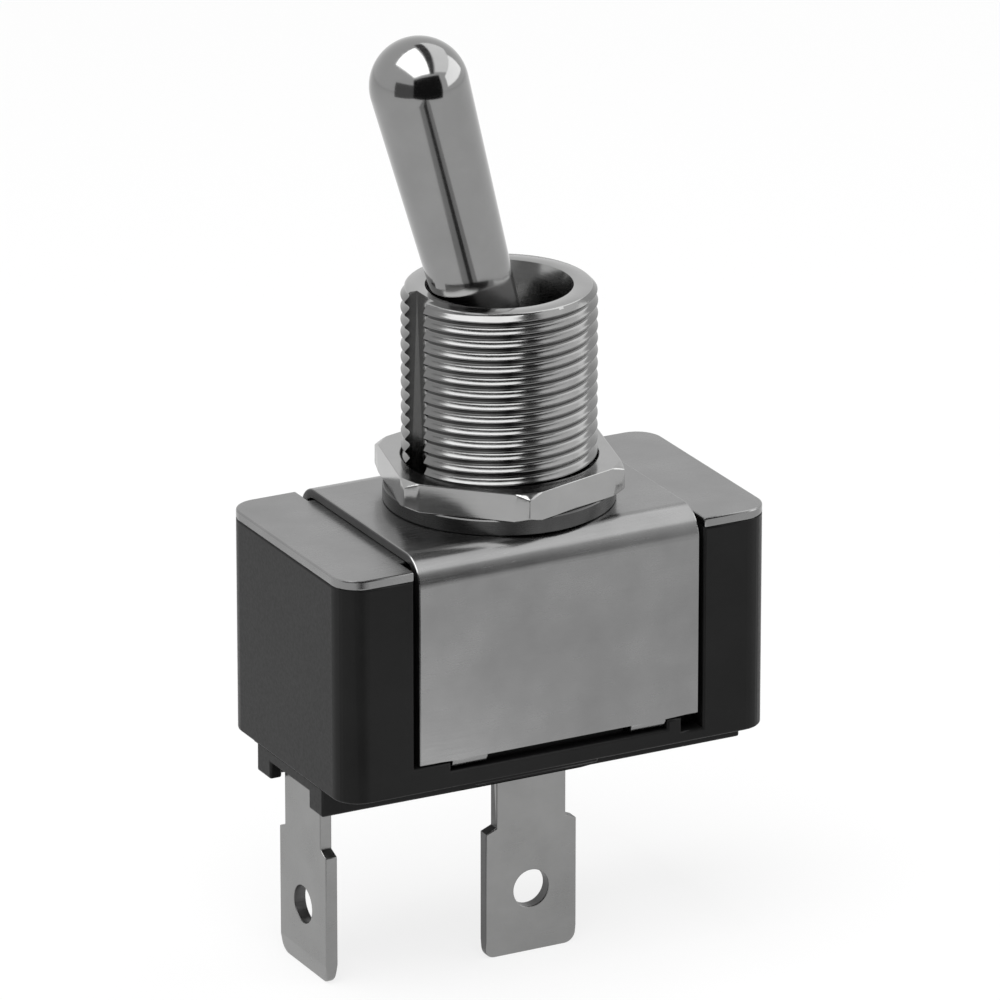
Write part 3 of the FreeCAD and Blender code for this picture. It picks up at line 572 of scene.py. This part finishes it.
# The groove's outline: a plane whose long sides are divided and moved to its levels
def makeGrooveOutline():
    levels = thread["groove"]
    root, outer = levels[0][0], levels[-1][0]
    widest = levels[-1][1]
    bpy.ops.object.select_all(action="DESELECT")
    bpy.ops.mesh.primitive_plane_add(size=1, rotation=(math.pi / 2, 0, 0))
    cutter = bpy.context.object
    cutter.scale = ((outer - root) * mm, 2 * widest * mm, 1)
    cutter.location = ((root + outer) / 2 * mm, 0, thread["start"] * mm)
    settle(cutter)
    openMesh(cutter, "EDGE")
    shape = bmesh.from_edit_mesh(cutter.data)
    for edge in shape.edges:  # the two sides that run outwards
        edge.select_set(abs(edge.verts[0].co.x - edge.verts[1].co.x) > weldGap * mm)
    bmesh.update_edit_mesh(cutter.data)
    bpy.ops.mesh.subdivide(number_cuts=len(levels) - 2)
    bpy.ops.mesh.select_mode(type="VERT")
    shape = bmesh.from_edit_mesh(cutter.data)
    places = [vert.co.x for vert in shape.verts]
    order = sorted(range(len(places)), key=lambda index: places[index])
    for level, (radius, halfWidth) in enumerate(levels):
        pair = order[2 * level:2 * level + 2]
        bpy.ops.mesh.select_all(action="DESELECT")
        shape = bmesh.from_edit_mesh(cutter.data)
        shape.verts.ensure_lookup_table()
        for index in pair:
            shape.verts[index].select_set(True)
        bmesh.update_edit_mesh(cutter.data)
        bpy.ops.transform.resize(
            value=(1, 1, halfWidth / widest), center_override=(0, 0, thread["start"] * mm)
        )
        bpy.ops.transform.translate(value=(radius * mm - places[pair[0]], 0, 0))
    bpy.ops.mesh.select_all(action="SELECT")
    bpy.ops.mesh.delete(type="ONLY_FACE")
    bpy.ops.mesh.select_mode(type="EDGE")
    bpy.ops.mesh.select_all(action="DESELECT")
    shape = bmesh.from_edit_mesh(cutter.data)
    for edge in shape.edges:  # the rungs between the groove's two walls go
        near, far = (vert.co.x / mm for vert in edge.verts)
        isRung = abs(near - far) < weldGap
        edge.select_set(isRung and root + weldGap < near < outer - weldGap)
    bmesh.update_edit_mesh(cutter.data)
    bpy.ops.mesh.delete(type="EDGE")
    closeMesh()
    return cutter


def makeGrooveCutter():
    cutter = makeGrooveOutline()
    applyModifier(
        cutter,
        "SCREW",
        axis="Z",
        angle=2 * math.pi,
        screw_offset=thread["pitch"] * mm,
        iterations=thread["turns"],
        steps=thread["steps"],
        render_steps=thread["steps"],
        use_merge_vertices=True,
        merge_threshold=thread["weldGap"] * mm,
    )
    openMesh(cutter)
    bpy.ops.mesh.select_all(action="SELECT")
    bpy.ops.mesh.remove_doubles(threshold=thread["weldGap"] * mm)
    bpy.ops.mesh.select_all(action="DESELECT")
    bpy.ops.mesh.select_non_manifold()
    bpy.ops.mesh.edge_face_add()  # closes both ends
    bpy.ops.mesh.select_all(action="SELECT")
    bpy.ops.mesh.normals_make_consistent(inside=False)
    closeMesh()
    return cutter


def makeBushing():
    rings = bushing["outside"] + bushing["mouth"]
    neck = math.asin((rings[-1][0] - bushing["seatHeight"]) / bushing["seatRadius"])
    for step in range(1, bushing["seatSteps"] + 1):
        angle = neck * (1 - step / bushing["seatSteps"])
        rings.append((
            bushing["seatHeight"] + bushing["seatRadius"] * math.sin(angle),
            bushing["seatRadius"] * math.cos(angle),
        ))
    rings += bushing["inside"]
    piece = turnedPiece("threadedBushing", rings, bushing["sides"], hollow=True)
    cut(piece, boxOf(bushing["pinSlot"]))
    cut(piece, boxOf(bushing["keyway"]))
    roundEdges(
        piece,
        bushing["keywayChamfer"],
        lambda at: isInBox(at, bushing["keywayEdge"]),
        bushing["keywaySharpness"],
        segments=1,
    )
    cut(piece, makeGrooveCutter())
    smooth(piece, bushing["smoothAngle"])
    coat(piece, "nickel")
    # the collar under the nut gets the painted shade
    coatFaces(piece, "painted_shade", lambda at, normal: isInBand(at, bushing["collarBand"]))
    # the thread's faces get the darker copy of the nickel, as painted shade
    coatFaces(piece, "threadPaintedShade", lambda at, normal: isInBand(at, bushing["threadBand"]))
    putOn(piece, "threaded_bushing", "base")


makeBushing()
print("bushing threaded")


# Hex nut, sheet parts and terminals: CAD shapes with worked edges

worked = {
    "hexNut": {"node": "hex_nut", "body": "nut", "radius": 0.07, "slot": "nickel"},
    "coverPlate": {"node": "cover_plate", "body": "base", "radius": 0.1, "slot": "plated_steel"},
    "strapFrame": {"node": "mounting_frame", "body": "base", "radius": 0.09, "slot": "plated_steel"},
    "commonTerminal": {
        "node": "common_terminal", "body": "base", "radius": 0.06, "slot": "tinned_brass",
    },
    "endTerminal": {"node": "end_terminal", "body": "base", "radius": 0.06, "slot": "tinned_brass"},
}
edgeWork = {"segments": 2, "smoothAngle": 18}
# Where the sheet shows its sheared and pierced edges, which get a rougher, darker finish that is also
# painted shade on the strap's cut edges. square and aslant limit a face's normal.
sheet = {
    "strapFoot": -15.95,
    "footReach": 0.05,
    "bladeTop": -19.7,
    "holeHeight": -27.0,
    "holeReach": 1.32,
    "square": 0.9,
    "aslant": 0.4,
}


def isStrapEdge(at, normal):
    isFoot = normal.z < -sheet["square"] and abs(at.z - sheet["strapFoot"]) < sheet["footReach"]
    return isFoot or abs(normal.x) > sheet["square"]


def isBladeEdge(at, normal):
    return at.z < sheet["bladeTop"] and abs(normal.y) < sheet["aslant"]


def isHoleWall(at, normal):
    reach = math.hypot(at.y, at.z - sheet["holeHeight"])
    return abs(normal.x) < sheet["aslant"] and reach < sheet["holeReach"]


shearedFaces = {
    "strapFrame": isStrapEdge,
    "commonTerminal": isBladeEdge,
    "endTerminal": isHoleWall,
}

for name, facts in worked.items():
    piece = copyOf(facts["node"], name)
    roundEdges(piece, facts["radius"], segments=edgeWork["segments"])
    finishSurface(piece, edgeWork["smoothAngle"])
    coat(piece, facts["slot"])
    if name in shearedFaces:
        coatFaces(piece, "sheared_and_shaded", shearedFaces[name])
    putOn(piece, facts["node"], facts["body"])
print("nut, sheet parts and terminals made")


# Moulded base: only edges that lie in its outer walls or its underside are rounded

housing = {"radius": 0.14, "skin": 0.06, "underside": -17.7, "smoothAngle": 24}


def makeHousing():
    low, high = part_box("base_housing")
    farX, farY = high.x / mm - housing["skin"], high.y / mm - housing["skin"]
    underside = housing["underside"] + housing["skin"]
    piece = copyOf("base_housing", "mouldedBase")
    roundEdges(
        piece,
        housing["radius"],
        lambda at: abs(at.x) > farX or abs(at.y) > farY or at.z < underside,
    )
    finishSurface(piece, housing["smoothAngle"])
    coat(piece, "phenolic")
    putOn(piece, "base_housing", "base")


makeHousing()
print("base made")


# Floor, light and camera. Lengths in metres, turns in degrees.

studio = {
    "floorSize": 3.0,
    "floorTone": 0.85,
    "floorRoughness": 0.9,
    "floorWhite": 0.8,  # share of plain white that the floor shows
    "roomLight": 0.25,
    "yaw": 27.71,
    "elevation": 20.3,
    "distance": 0.5964,
    "aim": (0.046, -0.497, -2.56),  # to the right, up in the picture and up, in millimetres
    "focalPixels": 9841,
    "framePixels": 1000,
    "sensorWidth": 36,
    "clipRange": (0.01, 50),
}
softboxes = [
    {
        "name": "keyBox", "at": (-0.18, -0.13, 0.45), "turn": (0, 0, 0),
        "size": (0.44, 0.66), "watts": 3.5,
    },
    {
        "name": "rightBox", "at": (0.39, -0.05, 0.45), "turn": (0, 0, 0),
        "size": (0.42, 0.8), "watts": 1.1,
    },
    {
        "name": "sideBox", "at": (0.6, -0.25, 0.27), "turn": (90, 0, 90),
        "size": (0.8, 0.34), "watts": 1.6,
    },
]
# Studio flags and a pale card, which only reflections see. They give the metal its dark zones,
# and the frame's front its lighter corner.
flags = [
    {
        "name": "frontFlag", "at": (-0.04, -0.2, 0.072), "turn": (90, 0, 0),
        "size": (0.28, 0.206), "grey": 0.02,
    },
    {
        "name": "leftFlag", "at": (-0.178, -0.091, 0.035), "turn": (90, 0, -63),
        "size": (0.16, 0.11), "grey": 0.2,
    },
    {
        "name": "slitFlag", "at": (0.11, -0.1, 0.46), "turn": (0, 0, -3),
        "size": (0.11, 0.8), "grey": 0.12,
    },
    {
        "name": "floorFlag", "at": (-0.032, -0.117, -0.0309), "turn": (0, 0, -13.6),
        "size": (0.045, 0.15), "grey": 0.5,
    },
    {
        "name": "floorSlit", "at": (-0.032, -0.117, -0.0307), "turn": (0, 0, -13.6),
        "size": (0.013, 0.15), "grey": 0.06,
    },
    {
        "name": "paleCard", "at": (0.006, -0.044, -0.0309), "turn": (0, 0, 0),
        "size": (0.014, 0.024), "grey": 1.7,
    },
]
white = (1, 1, 1, 1)


def inRadians(turn):
    return [math.radians(angle) for angle in turn]


# Camera, glossy and transmission rays see plain white, in the share given
def seeWhite(tree, otherwise, share, whiteKind):
    path = addNode(tree, "ShaderNodeLightPath")
    rays = mathStep(tree, "MAXIMUM", path.outputs["Is Camera Ray"], path.outputs["Is Glossy Ray"])
    rays = mathStep(tree, "MAXIMUM", rays, path.outputs["Is Transmission Ray"])
    glow = addNode(tree, whiteKind, {"Color": white, "Strength": 1.0})
    mix = addNode(tree, "ShaderNodeMixShader")
    tree.links.new(mathStep(tree, "MULTIPLY", rays, share), mix.inputs["Fac"])
    tree.links.new(otherwise.outputs[0], mix.inputs[1])
    tree.links.new(glow.outputs[0], mix.inputs[2])
    return mix.outputs[0]


def makeFloor(level):
    bpy.ops.object.select_all(action="DESELECT")
    bpy.ops.mesh.primitive_plane_add(size=studio["floorSize"], location=(0, 0, level))
    floor = bpy.context.object
    floor.name = "floor"
    material = bpy.data.materials.new("paleFloor")
    material.use_nodes = True
    tree = material.node_tree
    shader = tree.nodes["Principled BSDF"]
    shader.inputs["Base Color"].default_value = (*[studio["floorTone"]] * 3, 1)
    shader.inputs["Roughness"].default_value = studio["floorRoughness"]
    surface = seeWhite(tree, shader, studio["floorWhite"], "ShaderNodeEmission")
    tree.links.new(surface, tree.nodes["Material Output"].inputs["Surface"])
    floor.data.materials.append(material)


def makeWorld():
    world = bpy.data.worlds.new("studio")
    bpy.context.scene.world = world
    world.use_nodes = True
    tree = world.node_tree
    room = tree.nodes["Background"]
    room.inputs["Color"].default_value = white
    room.inputs["Strength"].default_value = studio["roomLight"]
    surface = seeWhite(tree, room, 1, "ShaderNodeBackground")
    tree.links.new(surface, tree.nodes["World Output"].inputs["Surface"])


def addLamp(facts):
    lamp = bpy.data.lights.new(facts["name"], "AREA")
    lamp.shape = "RECTANGLE"
    lamp.size, lamp.size_y = facts["size"]
    lamp.energy = facts["watts"]
    holder = bpy.data.objects.new(facts["name"], lamp)
    bpy.context.scene.collection.objects.link(holder)
    holder.location = facts["at"]
    holder.rotation_euler = inRadians(facts["turn"])


def addFlag(facts):
    bpy.ops.object.select_all(action="DESELECT")
    bpy.ops.mesh.primitive_plane_add(size=1, location=facts["at"])
    flag = bpy.context.object
    flag.name = facts["name"]
    flag.scale = (*facts["size"], 1)
    flag.rotation_euler = inRadians(facts["turn"])
    material = bpy.data.materials.new(facts["name"])
    material.use_nodes = True
    tree = material.node_tree
    glow = addNode(tree, "ShaderNodeEmission", {"Color": white, "Strength": facts["grey"]})
    tree.links.new(glow.outputs[0], tree.nodes["Material Output"].inputs["Surface"])
    flag.data.materials.append(material)
    flag.visible_camera = False
    flag.visible_diffuse = False
    flag.visible_transmission = False
    flag.visible_shadow = False


def makeCamera():
    yaw, lift = math.radians(studio["yaw"]), math.radians(studio["elevation"])
    right = Vector((math.cos(yaw), -math.sin(yaw), 0))
    forward = Vector((
        math.sin(yaw) * math.cos(lift), math.cos(yaw) * math.cos(lift), -math.sin(lift),
    ))
    up = right.cross(forward)
    across, over, height = studio["aim"]
    aim = Vector((0, 0, height * mm)) + right * across * mm + up * over * mm
    data = bpy.data.cameras.new("camera")
    camera = bpy.data.objects.new("camera", data)
    bpy.context.scene.collection.objects.link(camera)
    camera.location = aim - forward * studio["distance"]
    camera.rotation_mode = "QUATERNION"
    camera.rotation_quaternion = forward.to_track_quat("-Z", "Y")
    data.sensor_width = studio["sensorWidth"]
    data.lens = studio["focalPixels"] / studio["framePixels"] * studio["sensorWidth"]
    data.clip_start, data.clip_end = studio["clipRange"]
    bpy.context.scene.camera = camera


makeFloor(cadBounds[0][2])
makeWorld()
for facts in softboxes:
    addLamp(facts)
for facts in flags:
    addFlag(facts)
makeCamera()
bpy.context.scene.view_settings.view_transform = "Standard"
print("studio ready")
